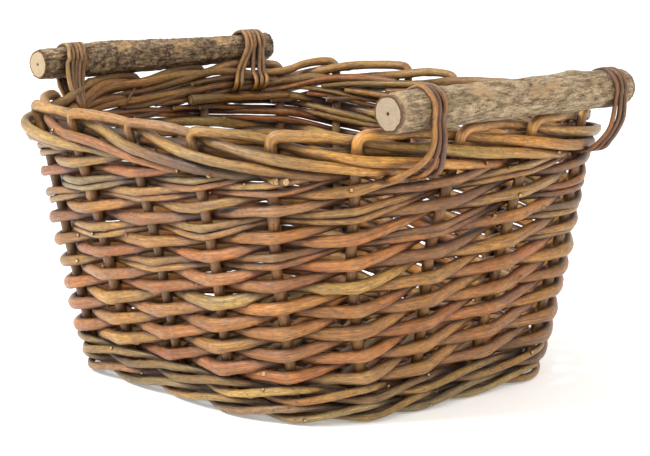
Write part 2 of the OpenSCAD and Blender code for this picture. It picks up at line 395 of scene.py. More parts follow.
                    tri = tri[::-1]
                faces += quads + [tri]
                mats += [0, 1 if cut else 0, 1 if cut else 0]
                smooth += [True, not cut, not cut]
    shell.add(np.vstack(verts), faces, mats, smooth, np.clip(np.vstack(tv) * SEASONED, 0.002, 1), np.vstack(uv), np.concatenate(mk), np.vstack(nv))
    for q in range(stubs):  # side twigs pruned short
        k = int(rng.integers(6, n - 6))
        a = rng.uniform(-0.9, 0.9)
        side = M[k] * math.cos(a) + B[k] * math.sin(a)
        way = side * 0.9 + T[k] * rng.uniform(0.2, 0.7) * rng.choice([-1, 1])
        way /= np.linalg.norm(way)
        r = RR[k] * rng.uniform(0.32, 0.5)
        far = RR[k] + rng.uniform(0.5, 1.8)
        rod(shell, [C[k] + way * RR[k] * 0.3, C[k] + way * (RR[k] + 0.1), C[k] + way * far], [T[k]] * 3, [r * 1.25, r * 1.05, r],
            int(rng.integers(1 << 30)), [tints[0]], sides=9, step=0.8, wobble=0, lumps=0.3)


# ------------------------------------------------------------------ materials
def new_mat(name):
    m = bpy.data.materials.new(name)
    m.use_nodes = True
    nt = m.node_tree
    nt.nodes.clear()
    out = nt.nodes.new("ShaderNodeOutputMaterial")
    bs = nt.nodes.new("ShaderNodeBsdfPrincipled")
    nt.links.new(bs.outputs[0], out.inputs[0])
    return m, nt, bs


def link(nt, a, b):
    nt.links.new(a, b)


def attr(nt, name):
    n = nt.nodes.new("ShaderNodeAttribute")
    n.attribute_name = name
    return n


def mapped(nt, vec, scale):
    n = nt.nodes.new("ShaderNodeVectorMath")
    n.operation = "MULTIPLY"
    link(nt, vec, n.inputs[0])
    n.inputs[1].default_value = scale
    return n.outputs[0]


def noise_tex(nt, vec, scale=1.0, detail=3.0, rough=0.55, lac=2.0):
    n = nt.nodes.new("ShaderNodeTexNoise")
    n.inputs["Scale"].default_value = scale
    n.inputs["Detail"].default_value = detail
    n.inputs["Roughness"].default_value = rough
    n.inputs["Lacunarity"].default_value = lac
    link(nt, vec, n.inputs["Vector"])
    return n.outputs["Fac"]


def ramp(nt, fac, stops):
    n = nt.nodes.new("ShaderNodeValToRGB")
    e = n.color_ramp.elements
    while len(e) < len(stops):
        e.new(0.5)
    for k, (p, c) in enumerate(stops):
        e[k].position = p
        e[k].color = (*c, 1) if hasattr(c, "__len__") else (c, c, c, 1)
    link(nt, fac, n.inputs[0])
    return n.outputs[0]


def mix(nt, a, b, fac, kind="MIX"):
    n = nt.nodes.new("ShaderNodeMix")
    n.data_type = "RGBA"
    n.blend_type = kind
    n.clamp_factor = True
    for sock, val in ((n.inputs[6], a), (n.inputs[7], b), (n.inputs[0], fac)):
        if hasattr(val, "is_linked") or hasattr(val, "links"):
            link(nt, val, sock)
        elif hasattr(val, "__len__"):
            sock.default_value = (*val, 1) if len(val) == 3 else val
        else:
            sock.default_value = val
    return n.outputs[2]


def math_node(nt, op, a, b=None, clamp=False):
    n = nt.nodes.new("ShaderNodeMath")
    n.operation = op
    n.use_clamp = clamp
    for sock, val in ((n.inputs[0], a), (n.inputs[1], b)):
        if val is None:
            continue
        if hasattr(val, "links"):
            link(nt, val, sock)
        else:
            sock.default_value = val
    return n.outputs[0]


def bump(nt, bs, height, strength, dist):
    b = nt.nodes.new("ShaderNodeBump")
    b.inputs["Strength"].default_value = strength
    b.inputs["Distance"].default_value = dist
    link(nt, height, b.inputs["Height"])
    link(nt, b.outputs[0], bs.inputs["Normal"])


def willow(name, dirt=0.5, patch=0.5, patch_col=(150, 140, 112), rough=(0.38, 0.62), streak=0.5, dark=1.0):
    """Willow bark: long streaks, mottling, patches of greyer skin, dark flecks, darker bud scars, and painted shade
    between the rods.
    """
    m, nt, bs = new_mat(name)
    uv = attr(nt, "ruv").outputs["Vector"]
    tint = attr(nt, "tint").outputs["Color"]
    mark = attr(nt, "mark").outputs["Fac"]
    crevice_shade = attr(nt, "crevice_shade").outputs["Fac"]
    long = noise_tex(nt, mapped(nt, uv, (28, 900, 900)), 1.0, 4, 0.65)
    fine = noise_tex(nt, mapped(nt, uv, (190, 2600, 2600)), 1.0, 4, 0.65)
    mott = noise_tex(nt, mapped(nt, uv, (230, 480, 480)), 1.0, 4, 0.7)
    blot = noise_tex(nt, mapped(nt, uv, (55, 170, 170)), 1.0, 4, 0.65)
    blot2 = noise_tex(nt, mapped(nt, uv, (19, 120, 120)), 1.0, 3, 0.6)
    fleck = noise_tex(nt, mapped(nt, uv, (420, 760, 760)), 1.0, 2, 0.5)
    col = mix(nt, tint, ramp(nt, long, [(0.33, 0.42), (0.48, 0.92), (0.66, 1.42)]), streak, "MULTIPLY")
    col = mix(nt, col, ramp(nt, fine, [(0.35, 0.40), (0.50, 1.0), (0.68, 1.55)]), 0.75, "MULTIPLY")
    col = mix(nt, col, ramp(nt, mott, [(0.36, 0.42), (0.48, 1.0), (0.66, 1.45)]), 0.55, "MULTIPLY")
    grey = math_node(nt, "MULTIPLY", ramp(nt, blot, [(0.52, 0.0), (0.66, 1.0)]), patch)
    col = mix(nt, col, tuple(lin(patch_col)), grey)
    warm = math_node(nt, "MULTIPLY", ramp(nt, blot2, [(0.45, 0.0), (0.7, 1.0)]), 0.6)
    col = mix(nt, col, (0.74, 0.46, 0.22), warm, "MULTIPLY")
    dk = math_node(nt, "MULTIPLY", ramp(nt, fleck, [(0.63, 0.0), (0.72, 1.0)]), dirt)
    col = mix(nt, col, (0.07, 0.035, 0.016), dk, "MIX")
    mk = math_node(nt, "MULTIPLY", mark, math_node(nt, "ADD", 0.35, math_node(nt, "MULTIPLY", fine, 0.7)), True)
    col = mix(nt, col, (0.06, 0.032, 0.016), math_node(nt, "MULTIPLY", mk, 0.75))
    # painted shade: darker in the crevices between crowded rods; dark sets how strong it is
    gr = math_node(nt, "MULTIPLY", crevice_shade, math_node(nt, "ADD", 0.55, math_node(nt, "MULTIPLY", mott, 0.9)), True)
    col = mix(nt, col, (0.20, 0.115, 0.055), math_node(nt, "MULTIPLY", gr, 0.92 * dark, True), "MULTIPLY")
    link(nt, col, bs.inputs["Base Color"])
    ro = nt.nodes.new("ShaderNodeMapRange")
    ro.inputs[3].default_value, ro.inputs[4].default_value = rough
    link(nt, mott, ro.inputs[0])
    link(nt, ro.outputs[0], bs.inputs["Roughness"])
    bs.inputs["Specular IOR Level"].default_value = 0.55
    bs.inputs["Coat Weight"].default_value = 0.22
    bs.inputs["Coat Roughness"].default_value = 0.33
    h = math_node(nt, "ADD", math_node(nt, "MULTIPLY", long, 0.9), math_node(nt, "ADD", math_node(nt, "MULTIPLY", fine, 0.6), math_node(nt, "MULTIPLY", dk, -0.6)))
    h = math_node(nt, "ADD", h, math_node(nt, "MULTIPLY", mott, 0.5))
    bump(nt, bs, h, 0.9, 0.0008)
    return m


def cut_wood(name, light=(222, 190, 142), dark=(178, 136, 88), rings=1500.0):
    """A cut end: pale wood with faint mottling, a brown edge of bark and a darker pith."""
    m, nt, bs = new_mat(name)
    uv = attr(nt, "ruv").outputs["Vector"]
    mark = attr(nt, "mark").outputs["Fac"]
    n1 = noise_tex(nt, mapped(nt, uv, (0, 900, 900)), 1.0, 3, 0.6)
    col = mix(nt, tuple(lin(light)), tuple(lin(dark)), ramp(nt, n1, [(0.35, 0.0), (0.7, 1.0)]))
    edge = ramp(nt, mark, [(0.72, 0.0), (0.98, 1.0)])
    col = mix(nt, col, tuple(lin((92, 60, 34))), edge)
    link(nt, col, bs.inputs["Base Color"])
    bs.inputs["Roughness"].default_value = 0.8
    bump(nt, bs, n1, 0.5, 0.0003)
    return m


M_CUT = cut_wood("cut_rod_end", (206, 174, 124), (150, 112, 70))
M_WEAVE = willow("weaver_bark", 0.45, 0.22, (146, 114, 72), (0.30, 0.54), 0.72)
M_STAKE = willow("stake_bark", 0.45, 0.18, (144, 114, 70), (0.30, 0.54), 0.75, 0.72)
M_WALE = willow("waling_bark", 0.85, 0.5, (128, 116, 76), (0.42, 0.66), 0.7)
M_BASE = willow("base_bark", 0.8, 0.5, (112, 96, 70), (0.5, 0.75), 0.7)
M_LASH = willow("lashing_bark", 0.5, 0.25, (150, 112, 74), (0.32, 0.5), 0.8)

# ------------------------------------------------------------------ side stakes and border
STAKE_R = 3.2
SIDE = 6.6
H = RIM_H
STAKE_PATH = [
    [0, 8.5, -7.5, 2.6], [0, 7.4, -3.2, 2.9], [0, 11, -0.6, 3.1],
    [0, 24, 0, 3.25], [0, 50, 0, 3.3], [0, 75, 0, 3.25], [0, 100, 0, 3.2], [0, 125, 0, 3.15], [0, 148, 0, 3.1],
    [0.0, H - 7, 0, 3.05], [0.01, H - 2.6, 0, 3.1], [0.055, H + 0.0, 0.2, 3.15], [0.13, H + 0.9, 0, 3.15],
    [0.35, H + 0.9, -1.2, 3.05], [0.65, H - 0.2, -4.4, 3.05], [1, H - 3.2, -SIDE, 3.1],
    [1.5, H - 7.9, 0, 3.15], [2, H - 12.0, SIDE, 3.15],
    [2.5, H - 15.3, SIDE + 0.9, 3.05], [3, H - 18.8, SIDE, 2.9], [3.3, H - 20.6, SIDE - 3.0, 2.7],
    [3.6, H - 22.4, 0.4, 2.6], [3.86, H - 23.4, -4.4, 2.3], [4.15, H - 24.0, -6.6, 1.9]]
SHANK = (176, 130, 72)
PALE = [(190, 156, 112), (184, 144, 96), (186, 146, 114), (176, 146, 92)]
STAKE_TINTS = {
    16: [TAN, STRAW, OLIVE], 17: [PINK, ORANGE, ORANGE], 0: [STRAW, BROWN, OLIVE], 1: [STRAW, GOLD, BROWN],
    2: [TAN, HONEY, BROWN], 3: [GOLD, HONEY, ORANGE], 4: [OLIVE, GOLD, HONEY], 5: [GOLD, BROWN, GOLD], 6: [TAN, GREY, TAN],
    7: [PINK, HONEY, GOLD], 8: [TAN, GOLD, STRAW], 9: [GOLD, OLIVE, BROWN], 10: [OLIVE, GOLD, BROWN], 11: [GOLD, TAN, BROWN],
    12: [HONEY, RUST, BROWN], 13: [OLIVE, HONEY, BROWN], 14: [GOLD, BROWN, RUST], 15: [ORANGE, TAN, HONEY]}
for j in range(STAKES):
    rng = np.random.default_rng(100 + j)
    thick = rng.uniform(0.95, 1.06)
    top = rng.uniform(0.93, 1.09)
    dz = rng.uniform(-0.9, 0.9)
    do = rng.uniform(-0.5, 0.7)
    p, n, r = [], [], []
    for (e, z, off, rad) in STAKE_PATH:
        late = min(max(e / 1.5, 0), 1)
        c, nn = at(j + e, z + dz * late, off + do * (1 if off > 5 else 0))
        c = np.array(c)
        # the left rim stands closer under its log
        up = 4.2 * min(max((z - (H - 30)) / 20, 0), 1) * min(max((-c[0] - 118) / 20, 0), 1) * min(max((92 - abs(c[1])) / 30, 0), 1)
        c[2] += up
        # and the left front corner of the border spreads outward
        c[:2] -= 3.6 * min(max((z - (H - 28)) / 14, 0), 1) * min(max(((-c[0] - c[1]) * 0.7071 - 152) / 26, 0), 1)
        p.append(c + SHIFT); n.append(nn); r.append(rad * (thick * (1 - late) + top * late))
    s = Shell()
    low = [[SHANK, HONEY, SHANK], [GOLD, SHANK, HONEY], [SHANK, TAN, SHANK]][j % 3]
    tints = low + [PALE[j % 4]] + STAKE_TINTS[j]
    rod(s, p, n, r, 200 + j, tints, sides=14, step=1.9, wobble=0.22, lumps=1.15, stubs=2 if j % 2 else 1)
    # the thinner rod that each upright brings with it, laid along the inside below the border
    v = [[0.1, H - 9.4, -5.0, 2.5], [0.5, H - 8.8, -5.8, 2.8], [1, H - 9.9, -6.6, 2.8], [1.5, H - 12.2, -6.2, 2.5], [2.0, H - 14.8, -6.4, 2.2], [2.25, H - 15.8, -6.2, 1.9]]
    for rise in (0.0, 10.5):
        g = [at(j + e, z + dz * 0.5, off) for e, z, off, rad in v]
        left = [min(max((-c[0] - 118) / 20, 0), 1) * min(max((88 - abs(c[1])) / 30, 0), 1) for c, nn in g]
        if rise and max(left) < 0.3:
            continue
        g = [(np.array(c) + (0, 0, rise * w), nn) for (c, nn), w in zip(g, left)]
        rod(s, [np.array(c) + SHIFT for c, nn in g], [nn for c, nn in g], [q[3] * top for q in v], 260 + j + int(rise), STAKE_TINTS[(j + 5) % 18],
            sides=12, step=2.2, wobble=0.35, lumps=1.2)
    if j == 0:  # the cut end of a border rod that stands out at the left corner
        q = [np.array(at(-0.12, 158, 2)[0]), np.array(at(-0.03, 159.4, 7)[0]), np.array(at(0.02, 156.5, 12.5)[0])]
        rod(s, [v + SHIFT for v in q], [(0, 0, 1)] * 3, [2.3, 2.2, 2.0], 241, [OLIVE, STRAW], sides=12, step=1.5, wobble=0, lumps=0.8)
    s.make("Side_stake_%02d" % (j + 1), [M_STAKE, M_CUT], "stake_willow", ["side_stake_%02d" % (j + 1)])

# ------------------------------------------------------------------ wall weavers
# Colours of each rod from its butt to its tip.
WEAVER_TINTS = [
    [HONEY, GOLD, ORANGE, TAN, STRAW, TAN], [RUST, ORANGE, HONEY, GOLD, GOLD, STRAW], [PINK, ORANGE, BROWN, ORANGE, TAN, GOLD],
    [ORANGE, HONEY, GOLD, TAN, RUST, ORANGE], [TAN, PINK, ORANGE, GREY, GREY, OLIVE], [GOLD, ORANGE, RUST, PINK, TAN, STRAW],
    [PINK, TAN, HONEY, ORANGE, GOLD, STRAW], [BROWN, HONEY, ORANGE, RUST, PINK, TAN], [OLIVE, GOLD, HONEY, GOLD, TAN, STRAW],
    [ORANGE, TAN, GOLD, HONEY, BROWN, GOLD], [HONEY, HONEY, RUST, ORANGE, TAN, TAN], [GOLD, OLIVE, GOLD, BROWN, ORANGE, STRAW],
    [TAN, GREY, PINK, ORANGE, HONEY, GOLD], [RUST, ORANGE, ORANGE, BROWN, TAN, GOLD], [HONEY, GOLD, STRAW, GOLD, OLIVE, STRAW],
    [ORANGE, PINK, HONEY, TAN, GREY, TAN], [GOLD, HONEY, ORANGE, ORANGE, RUST, PINK], [PINK, ORANGE, GOLD, STRAW, STRAW, STRAW]]
LAST = 18.85


def tri(m):
    return math.asin(0.975 * math.cos(PI * m)) / math.asin(0.975)


def weaver_curve(j, m0, m1, seed, scale, lift_mm=0.0, dip=1.8):
    rng = np.random.default_rng(seed)
    ph = rng.uniform(0, 2 * PI, 3)
    p, n, r = [], [], []
    count = int(round((m1 - m0) / 0.125))
    ms = m0 + (m1 - m0) * np.arange(count + 1) / count
    for m in ms:
        rr = float(np.interp(m, [0, 6, 11, 15, 17, 19], [3.75, 3.62, 3.42, 3.22, 3.05, 2.3])) * scale
        full = rr if scale > 0.8 else rr / 0.72
        d = STAKE_R + min(rr, full) * 0.96 - 0.1
        t = tri(min(m, 18.0))
        off = -d * t
        if m < 0:
            off = -d - 9.0 * (-m)
        dd = dip * float(np.interp(m, [0, 1, 13, 17], [0.5, 1.0, 0.85, 0.5]))
        z = WEAVE_Z + CLIMB * min(m, 18) + 3.2 * max(m - 18, 0) + dd * t + lift_mm + 0.45 * math.sin(1.3 * m + ph[0]) + 0.3 * math.sin(2.9 * m + ph[1])
        c, nn = at(j + m, z, off)
        p.append(np.array(c) + SHIFT); n.append(nn); r.append(rr)
    kinks = [(k - m0) / (m1 - m0) * count for k in range(int(math.ceil(m0)), int(m1) + 1)]
    return p, n, r, kinks


PAIRED = {1: 9.9, 4: 7.9, 5: 11.9, 8: 9.9, 11: 7.9, 13: 11.9, 15: 9.9, 16: 11.9}
for j in range(STAKES):
    rng = np.random.default_rng(300 + j)
    thick = rng.uniform(0.93, 1.06)
    s = Shell()
    pal = WEAVER_TINTS[j]
    if j in PAIRED:  # past this place the rod is worked as two thin ones, one laid on the other
        m0 = PAIRED[j]
        p, n, r, kk = weaver_curve(j, -0.25, LAST, 400 + j, thick)
        ms = np.linspace(-0.25, LAST, len(p))
        k = np.clip((ms - m0 + 0.6) / 1.2, 0, 1)
        r = [a * (1 - 0.30 * b) for a, b in zip(r, k)]
        p = [np.array([a[0], a[1], a[2] + 1.9 * b]) for a, b in zip(p, k)]
        rod(s, p, n, r, 500 + j, pal, sides=14, step=2.1, wobble=0.25, lumps=1.2, kinks=kk, stubs=2)
        p, n, r, kk = weaver_curve(j, m0, LAST - 0.3, 600 + j, 0.66, lift_mm=-2.2)
        rod(s, p, n, r, 700 + j, pal[::-1][:4], sides=12, step=2.1, wobble=0.25, lumps=1.2, kinks=kk, stubs=1)
    else:
        p, n, r, kk = weaver_curve(j, -0.25, LAST, 400 + j, thick)
        rod(s, p, n, r, 500 + j, pal, sides=14, step=2.1, wobble=0.3, lumps=1.2, kinks=kk, stubs=3)
    if j == 3:  # two butts that come out under the border
        for q, (jj, zz, c) in enumerate(((4.08, 148.2, STRAW), (4.19, 148.4, TAN))):
            v = [np.array(at(jj - 0.25, zz + 2.4, -3)[0]), np.array(at(jj - 0.1, zz + 0.9, 3)[0]), np.array(at(jj, zz, 7.6)[0])]
            rod(s, [x + SHIFT for x in v], [(0, 0, 1)] * 3, [2.4, 2.5, 2.5], 750 + q, [BROWN, c], sides=14, step=1.5, wobble=0, lumps=0.8)
    if j == 14:  # a thick butt laid along the inside of the left wall
        v = [np.array(at(-2.66 - 0.12 * q, 156 - 0.35 * q, -9.4 + 0.25 * q)[0]) for q in range(13)]
        rod(s, [x + SHIFT for x in v], [(0, 0, 1)] * 13, list(np.linspace(3.9, 2.4, 13)), 760, [GREY, OLIVE, GOLD, OLIVE], sides=14, step=2, wobble=0.3, lumps=1.1)
        v = [np.array(at(-1.72, 157, -7)[0]), np.array(at(-1.8, 164, -8.5)[0]), np.array(at(-1.9, 171.5, -8)[0])]
        rod(s, [x + SHIFT for x in v], [(1, 0, 0)] * 3, [1.6, 1.5, 1.2], 761, [BROWN, GOLD], sides=10, step=1.5, wobble=0.3, lumps=1.0)
    s.make("Wall_weaver_%02d" % (j + 1), [M_WEAVE, M_CUT], "weaver_willow", ["wall_weaver_%02d" % (j + 1)])

# ------------------------------------------------------------------ waling
WALE_Z, WALE_STEP, WALE_ROW, WALE_R = 2.75, 7.3, 11.2, 2.55
wale_pal = [[OLIVE, STRAW, OLIVE, GREY, STRAW], [OLIVE, BROWN, STRAW, OLIVE, GOLD], [STRAW, OLIVE, PINK, GREY, OLIVE],
            [PINK, OLIVE, GOLD, OLIVE, STRAW], [GREY, OLIVE, BROWN, PINK, OLIVE], [OLIVE, STRAW, OLIVE, BROWN, GOLD]]
RING = {0: (-3.8, 2.7, 2.4), 1: (-9.2, 6.2, 2.5), 2: (-8.6, 11.8, 2.6), 3: (-5.0, 13.0, 2.4)}
for w in range(6):
    row, k = divmod(w, 3)
    start = (9, 15)[row] + k
    ph_z = {0: WALE_STEP / 2, 1: 0.0, 2: WALE_STEP}
    d = 6.2
    p, n, r = [], [], []
    for g in range(18):
        ph = g % 3
        z = WALE_Z + WALE_ROW * row + ph_z[ph]
        off = -d if ph == 0 else d
        c, nn = at(start + g, z, off)
        p.append(np.array(c) + SHIFT); n.append(nn); r.append(WALE_R * (1 - 0.12 * g / 17))
    s = Shell()
    rod(s, p, n, r, 800 + w, wale_pal[w], sides=12, step=2.3, wobble=0.0, lumps=1.2, stubs=3, kinks=[g for g in range(1, 17)])
    if w in RING:  # the rest of the upsett: rods that close the ring between the mat and the wall
        off, z, r0 = RING[w]
        q = [at(0.25 * g, z + 0.5 * math.sin(1.9 * g + w), off + 0.5 * math.sin(1.3 * g + 2 * w)) for g in range(72)]
        rod(s, [np.array(c) + SHIFT for c, nn in q], [nn for c, nn in q], [r0] * 72, 850 + w, wale_pal[w] + wale_pal[w][:1], sides=12, step=2.6,
            wobble=0, lumps=1.0, closed=True)
    s.make("Waling_rod_%d" % (w + 1), [M_WALE, M_CUT], "waling_willow", ["waling_rod_%d" % (w + 1)])

# ------------------------------------------------------------------ base mat
MAT_A, MAT_B, MAT_C = FOOT[0] / 2 - 9.4, FOOT[1] / 2 - 9.4, FOOT[2] - 9.4
MAT_Z, STICK_Z, STICK_R = 2.2517, 8.4533, 3.4


def chord(a, b, r, v):
    v = abs(v)
    return a if v <= b - r else a - r + math.sqrt(max(0.0, r * r - (v - (b - r)) ** 2))


for i in range(1, 8):
    y = (i - 4) * 32.0
    h = chord(MAT_A, MAT_B, MAT_C, y) - 1.6
    xs = np.linspace(-h, h, 7)
    p = [np.array([x, y, STICK_Z]) + SHIFT for x in xs]
    s = Shell()
    rod(s, p, [(0, 0, 1)] * 7, np.linspace(3.35, 3.1, 7) if i % 2 else np.linspace(3.1, 3.35, 7), 900 + i,
        [BROWN, OLIVE, BROWN], sides=14, step=2.6, wobble=0.1, lumps=0.9, squash=1.0)
    s.make("Base_stick_%d" % i, [M_BASE, M_CUT], "base_wood", ["base_stick_%d" % i])

s = Shell()
nmat = int((MAT_A - 4) / 7.2)
for j in range(-nmat, nmat + 1):
    x = j * 7.2
    h = chord(MAT_B, MAT_A, MAT_C, x)
    met = [i for i in range(1, 8) if abs((i - 4) * 32.0) < h - 7]
    lvl = lambda i: 0 if (i + j + 100) % 2 == 0 else 1
    rise = 2 * (STICK_Z - MAT_Z)
    lo = MAT_Z + 0.05
    pts = [[x, -h, lo + rise * lvl(met[0])]]
    for q, i in enumerate(met):
        pts.append([x, (i - 4) * 32.0, lo + rise * lvl(i)])
        if q + 1 < len(met):
            pts.append([x, (i - 4) * 32.0 + 16.0, lo + rise / 2])
    pts.append([x, h, lo + rise * lvl(met[-1])])
    rad = [2.8] * len(pts)
    pal = [[BROWN, OLIVE, BROWN], [OLIVE, BROWN, GREY], [BROWN, BROWN, ORANGE], [PINK, BROWN, OLIVE]][(j * 7) % 4]
    rod(s, [np.array(q) + SHIFT for q in pts], [(0, 0, 1)] * len(pts), rad, 1000 + j, pal, sides=10, step=2.8,
        wobble=0.0, lumps=0.6, squash=0.8)
s.make("Base_weavers", [M_BASE, M_CUT], "base_willow", ["base_weavers"])


# ------------------------------------------------------------------ handle logs
def bark_log(name, node, slot, x, y0, y1, z, r0, r1, seed, rough_amp, bow, mats, knots, peel):
    """A short branch with its bark on: cracked surface, knots, a chamfered bark edge and cut faces."""
    rng = np.random.default_rng(seed)
    sides, step = 84, 1.5
    n = int((y1 - y0) / step)
    ys = np.linspace(y0, y1, n + 1)
    ang = 2 * PI * np.arange(sides) / sides
    f = (ys - y0) / (y1 - y0)
    R = np.interp(ys, r0, r1)
    R = np.convolve(np.pad(R, 6, mode="edge"), np.ones(13) / 13, "valid")
    cx = x + bow[0] * np.sin(PI * f) + bow[2] * np.sin(2 * PI * f)
    cz = z + bow[1] * np.sin(PI * f) + bow[3] * np.sin(2 * PI * f)
    V = np.zeros((n + 1, sides, 3))
    mark = np.zeros((n + 1, sides))
    bare = np.zeros((n + 1, sides))
    for i in range(n + 1):
        for k in range(sides):
            a = ang[k]
            q = Vector((math.cos(a) * R[i], math.sin(a) * R[i], ys[i]))
            lump = noise.fractal(Vector((q.x / 11, q.y / 11, q.z / 26 + seed)), 0.9, 2.0, 3)
            crk = noise.noise(Vector((q.x / 2.3, q.y / 2.3, q.z / 15 + seed * 1.7)))
            crk = max(0.0, 1 - abs(crk) * 5.0)
            plate = noise.fractal(Vector((q.x / 3.2, q.y / 3.2, q.z / 7.5 - seed)), 0.8, 2.1, 3)
            rough = noise.noise(Vector((q.x * 0.9, q.y * 0.9, q.z * 0.55)))
            d = 0.62 * lump + rough_amp * (0.30 * plate - 0.42 * crk + 0.10 * rough)
            mk = 0.65 * crk
            for (ky, ka, kr, kh) in knots:
                da = math.atan2(math.sin(a - ka), math.cos(a - ka)) * R[i]
                dd = math.hypot(ys[i] - ky, da) / kr
                if dd < 2.2:
                    d += kh * math.exp(-(dd * 0.9) ** 2) - 0.5 * kh * math.exp(-(dd / 0.35) ** 2)
                    mk = max(mk, 0.95 * math.exp(-(dd / 0.6) ** 2), 0.5 * math.exp(-((dd - 1.1) / 0.25) ** 2))
            b = 0.0
            for (py0, py1, pa, pw) in peel:
                t = noise.noise(Vector((q.x / 4, q.y / 4, q.z / 6 + 9.1))) * 5
                w = math.atan2(math.sin(a - pa), math.cos(a - pa)) * R[i]
                inside = min(ys[i] - py0, py1 - ys[i], pw - abs(w)) + t
                b = max(b, min(max(inside / 1.4 + 0.5, 0.0), 1.0))
            d -= 0.45 * b
            mk *= 1 - 0.7 * b
            rim = min(ys[i] - y0, y1 - ys[i]) + 1.6 * noise.noise(Vector((q.x / 2.1, q.y / 2.1, seed))) - 0.6
            mk = max(mk, 0.95 * min(max(1.4 - rim / 1.5, 0.0), 1.0))
            rr = R[i] + d
            edge = min(i, n - i)
            if edge < 1:
                rr -= 0.35
            V[i, k] = (cx[i] + math.cos(a) * rr, ys[i], cz[i] + math.sin(a) * rr)
            mark[i, k] = mk
            bare[i, k] = b
    verts = [V.reshape(-1, 3)]
    mk = [mark.reshape(-1)]
    uv = np.zeros((n + 1, sides, 3))
    uv[..., 0] = ys[:, None] * MM + seed
    uv[..., 1] = np.cos(ang)[None] * R[:, None] * MM
    uv[..., 2] = np.sin(ang)[None] * R[:, None] * MM
    uvs = [uv.reshape(-1, 3)]
    tint = np.zeros(((n + 1) * sides, 3))
    tint[:, 0] = bare.reshape(-1)
    tints = [tint]
    faces, mi, sm = [], [], []
    for i in range(n):
        for k in range(sides):
            k2 = (k + 1) % sides
            faces.append((i * sides + k, (i + 1) * sides + k, (i + 1) * sides + k2, i * sides + k2))
    mi += [0] * len(faces)
    sm += [True] * len(faces)
    base = (n + 1) * sides
    for idx, sign in ((0, -1), (n, 1)):
        ring = V[idx]
        c = np.array([cx[idx], ys[idx], cz[idx]])
        fr = [0.97, 0.90, 0.86, 0.6, 0.35, 0.14, 0.075, 0.05]
        dep = [0.25, 0.25, 0.30, 0.32, 0.32, 0.30, 0.1, -1.1]
        prev = [idx * sides + k for k in range(sides)]
        for q, (a_, dpt) in enumerate(zip(fr, dep)):
            rg = c + (ring - c) * a_
            jit = np.array([noise.noise(Vector((p_[0] / 2.0, p_[2] / 2.0, q + seed))) for p_ in rg])
            rg[:, 1] = ys[idx] + sign * (dpt + 0.12 * jit)
            verts.append(rg)
            rel = rg - c
            u = np.c_[np.full(sides, seed), rel[:, 0] * MM, rel[:, 2] * MM]
            uvs.append(u)
            tints.append(np.repeat([[a_, 0, 0]], sides, 0))
            mk.append(np.full(sides, 1.0 if a_ > 0.88 else (1.0 if a_ < 0.1 else 0.0)))
            cur = [base + k for k in range(sides)]
            for k in range(sides):
                k2 = (k + 1) % sides
                fq = (prev[k], cur[k], cur[k2], prev[k2])
                faces.append(fq if sign > 0 else fq[::-1])
                mi.append(0 if q == 0 else 1)
                sm.append(True)
            prev = cur
            base += sides
        verts.append(np.array([[c[0], ys[idx] - sign * 1.2, c[2]]]))
        uvs.append(np.array([[seed, 0.0, 0.0]]))
        tints.append(np.zeros((1, 3)))
        mk.append(np.array([1.0]))
        for k in range(sides):
            k2 = (k + 1) % sides
            fq = (prev[k], base, prev[k2])
            faces.append(fq if sign > 0 else fq[::-1])
            mi.append(1)
            sm.append(True)
        base += 1
    sh = Shell()
    vv = np.vstack(verts) + SHIFT
    axis = np.c_[np.interp(vv[:, 1], ys, cx) + SHIFT[0], vv[:, 1], np.interp(vv[:, 1], ys, cz)]
    nv = vv - axis
    nv /= np.maximum(np.linalg.norm(nv, axis=1), 1e-6)[:, None]
    nv[(n + 1) * sides:] = 0
    nv[(n + 1) * sides:, 1] = np.where(vv[(n + 1) * sides:, 1] < 0, -1, 1)
    sh.add(vv, faces, mi, sm, np.vstack(tints), np.vstack(uvs), np.concatenate(mk), nv)
    return sh.make(name, mats, slot, [node])


